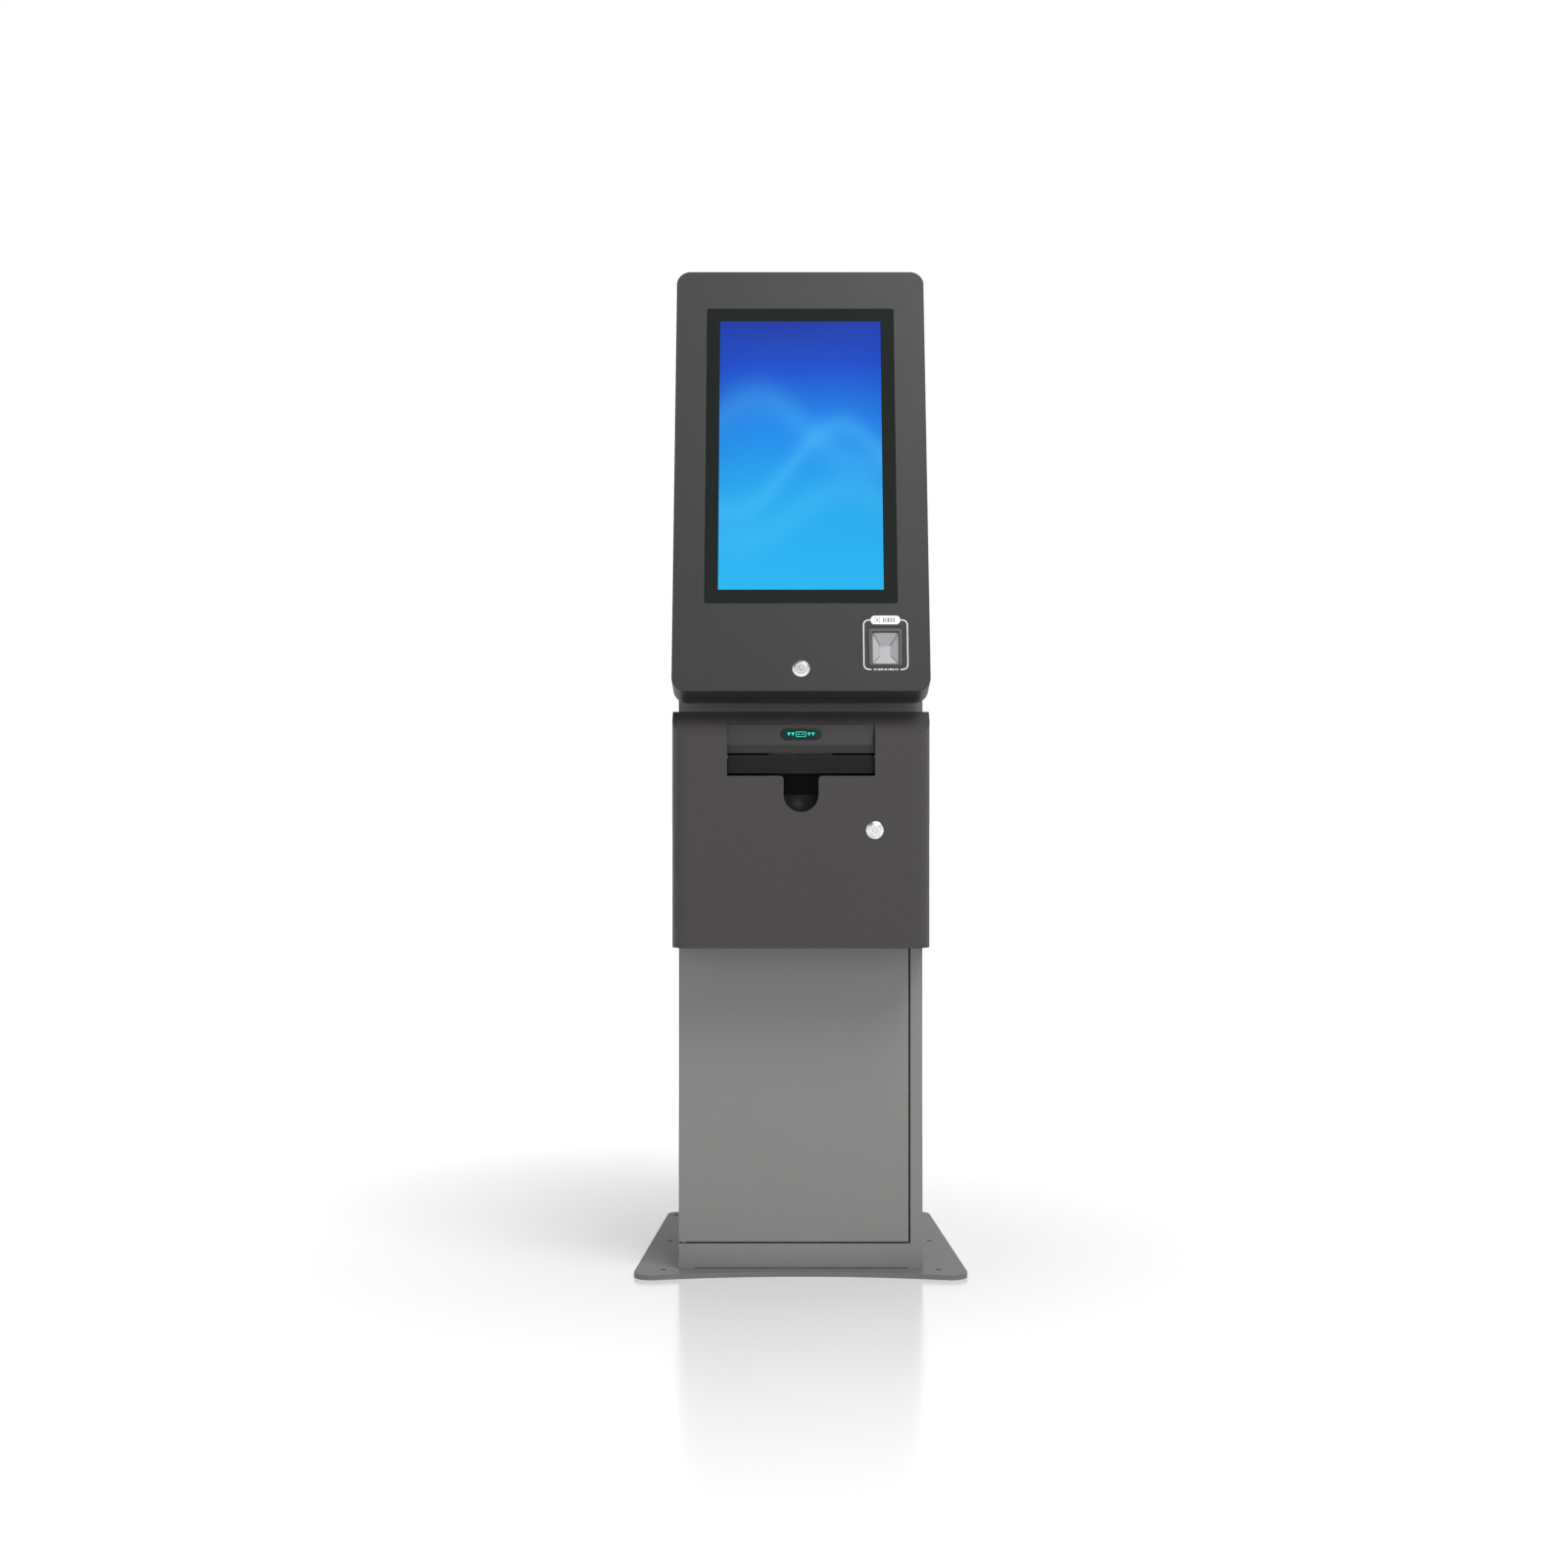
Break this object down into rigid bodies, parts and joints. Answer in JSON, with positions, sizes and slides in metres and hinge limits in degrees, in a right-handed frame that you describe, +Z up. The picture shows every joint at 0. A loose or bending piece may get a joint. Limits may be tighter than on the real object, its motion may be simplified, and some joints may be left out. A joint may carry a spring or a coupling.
{
  "type": "self-service ticket vending machine",
  "caption": "Floor-standing self-service ticket kiosk with a tilted touch screen, a code scanner and a ticket outlet, all doors on working hinges.",
  "frame": {"origin": "centre of the base plate's underside", "axes": "+X to the user's right, +Y towards the back, +Z up"},
  "size_m": [0.5432, 0.5703, 1.666],
  "materials": {
    "charcoal_powder": "satin powder coat",
    "grey_powder": "satin powder coat",
    "plate_paint": "fine-textured powder coat",
    "zinc_steel": "zinc-plated",
    "galvanised_sheet": "galvanised",
    "lock_chrome": "polished",
    "screen_glass": "gloss",
    "gasket_rubber": "matt",
    "black_plastic": "fine grain",
    "charcoal_plastic": "fine grain",
    "grey_plastic": "satin",
    "sign_lens": "lit",
    "roller_rubber": "ground",
    "ticket_paper": "smooth",
    "equipment_paint": "matt",
    "equipment_case": "matt coated housing",
    "cast_aluminium": "satin"
  },
  "bodies": {
    "kiosk": {"base_plate": "plate_paint", "column_shell": "grey_powder", "computer_unit": "equipment_case", "cover_hinge_column_leaf": "zinc_steel", "cover_hinge_pin": "zinc_steel", "door_bolt_guides": "galvanised_sheet", "drive_belt": "gasket_rubber", "equipment_shelves": "galvanised_sheet", "fan_frame": "black_plastic", "frame_screws": "zinc_steel", "head_back_shell": "charcoal_powder", "head_hinge_back_leaves": "charcoal_powder", "head_hinge_pins": "zinc_steel", "lock_strikers": "galvanised_sheet", "lower_door_pins": "zinc_steel", "note_cassette": "black_plastic", "note_dispenser": "equipment_paint", "power_inlet": "black_plastic", "power_supply": "equipment_case", "print_head": "cast_aluminium", "printer_frame": "galvanised_sheet", "printer_motor": "equipment_paint", "rear_panel": "grey_powder", "roll_spindle": "zinc_steel", "roller_bushes": "black_plastic", "ticket_chute": "galvanised_sheet", "ticket_cutter": "cast_aluminium"},
    "lower_door": {"lower_door_panel": "grey_powder", "lower_door_stiffener": "galvanised_sheet"},
    "hand_bolt": {"door_bolt": "zinc_steel"},
    "cover": {"cover_hinge_cover_leaf": "zinc_steel", "cover_lock_barrel": "lock_chrome", "cover_shell": "charcoal_powder", "flap_pin": "zinc_steel", "outlet_fascia": "charcoal_powder", "sign_backlight": "black_plastic", "sign_lens": "sign_lens", "ticket_tray": "black_plastic"},
    "cover_lock": {"cover_lock_cam": "zinc_steel", "cover_lock_plug": "lock_chrome"},
    "flap": {"outlet_flap": "black_plastic"},
    "head_door": {"display_bars": "galvanised_sheet", "display_panel": "equipment_case", "head_door_shell": "charcoal_powder", "head_hinge_door_leaves": "charcoal_powder", "head_lock_barrel": "lock_chrome", "scanner_bezel": "charcoal_plastic", "scanner_module": "black_plastic", "scanner_reflector": "grey_plastic", "screen_gasket": "gasket_rubber", "screen_glass": "screen_glass"},
    "head_lock": {"head_lock_cam": "zinc_steel", "head_lock_plug": "lock_chrome"},
    "platen": {"platen_pulley": "black_plastic", "platen_roller": "roller_rubber"},
    "presenter": {"presenter_pulley": "black_plastic", "presenter_roller": "roller_rubber"},
    "motor": {"motor_pulley": "cast_aluminium"},
    "paper": {"paper_roll": "ticket_paper"},
    "fan": {"fan_rotor": "black_plastic"}
  },
  "joints": [
    {"name": "head_door_hinge", "type": "hinge", "parent": "kiosk", "child": "head_door", "pos_m": [0, -0.06464, 1.65811], "axis": [-1, 0, 0], "range_deg": [0, 75]},
    {"name": "head_lock_turn", "type": "hinge", "parent": "head_door", "child": "head_lock", "pos_m": [0, -0.29464, 0.98797], "axis": [0, -0.965, 0.2622], "range_deg": [0, 90]},
    {"name": "cover_hinge", "type": "hinge", "parent": "kiosk", "child": "cover", "pos_m": [-0.2065, -0.212, 0.73], "axis": [0, 0, -1], "range_deg": [0, 110]},
    {"name": "cover_lock_turn", "type": "hinge", "parent": "cover", "child": "cover_lock", "pos_m": [0.118, -0.298, 0.729], "axis": [0, -1, 0], "range_deg": [0, 90]},
    {"name": "outlet_flap_hinge", "type": "hinge", "parent": "cover", "child": "flap", "pos_m": [0, -0.286, 0.8465], "axis": [1, 0, 0], "range_deg": [0, 70], "stiffness_Nm_per_rad": 0.02},
    {"name": "lower_door_hinge", "type": "hinge", "parent": "kiosk", "child": "lower_door", "pos_m": [-0.191, -0.199, 0.2945], "axis": [0, 0, -1], "range_deg": [0, 105]},
    {"name": "hand_bolt_slide", "type": "slide", "parent": "kiosk", "child": "hand_bolt", "axis": [0, 0, -1], "range_m": [0, 0.018]},
    {"name": "platen_turn", "type": "hinge", "parent": "kiosk", "child": "platen", "pos_m": [0, -0.125, 0.838], "axis": [1, 0, 0], "continuous": true},
    {"name": "presenter_turn", "type": "hinge", "parent": "kiosk", "child": "presenter", "pos_m": [0, -0.161, 0.838], "axis": [1, 0, 0], "continuous": true},
    {"name": "motor_turn", "type": "hinge", "parent": "kiosk", "child": "motor", "pos_m": [0, -0.143, 0.8], "axis": [1, 0, 0], "continuous": true},
    {"name": "paper_roll_turn", "type": "hinge", "parent": "kiosk", "child": "paper", "pos_m": [0, -0.045, 0.77], "axis": [1, 0, 0], "continuous": true},
    {"name": "fan_turn", "type": "hinge", "parent": "kiosk", "child": "fan", "pos_m": [0, 0.139, 0.99], "axis": [0, 1, 0], "continuous": true}
  ],
  "couplings": [
    {"joint": "presenter_turn", "follows": "platen_turn", "ratio": 1},
    {"joint": "motor_turn", "follows": "platen_turn", "ratio": 1.5}
  ]
}
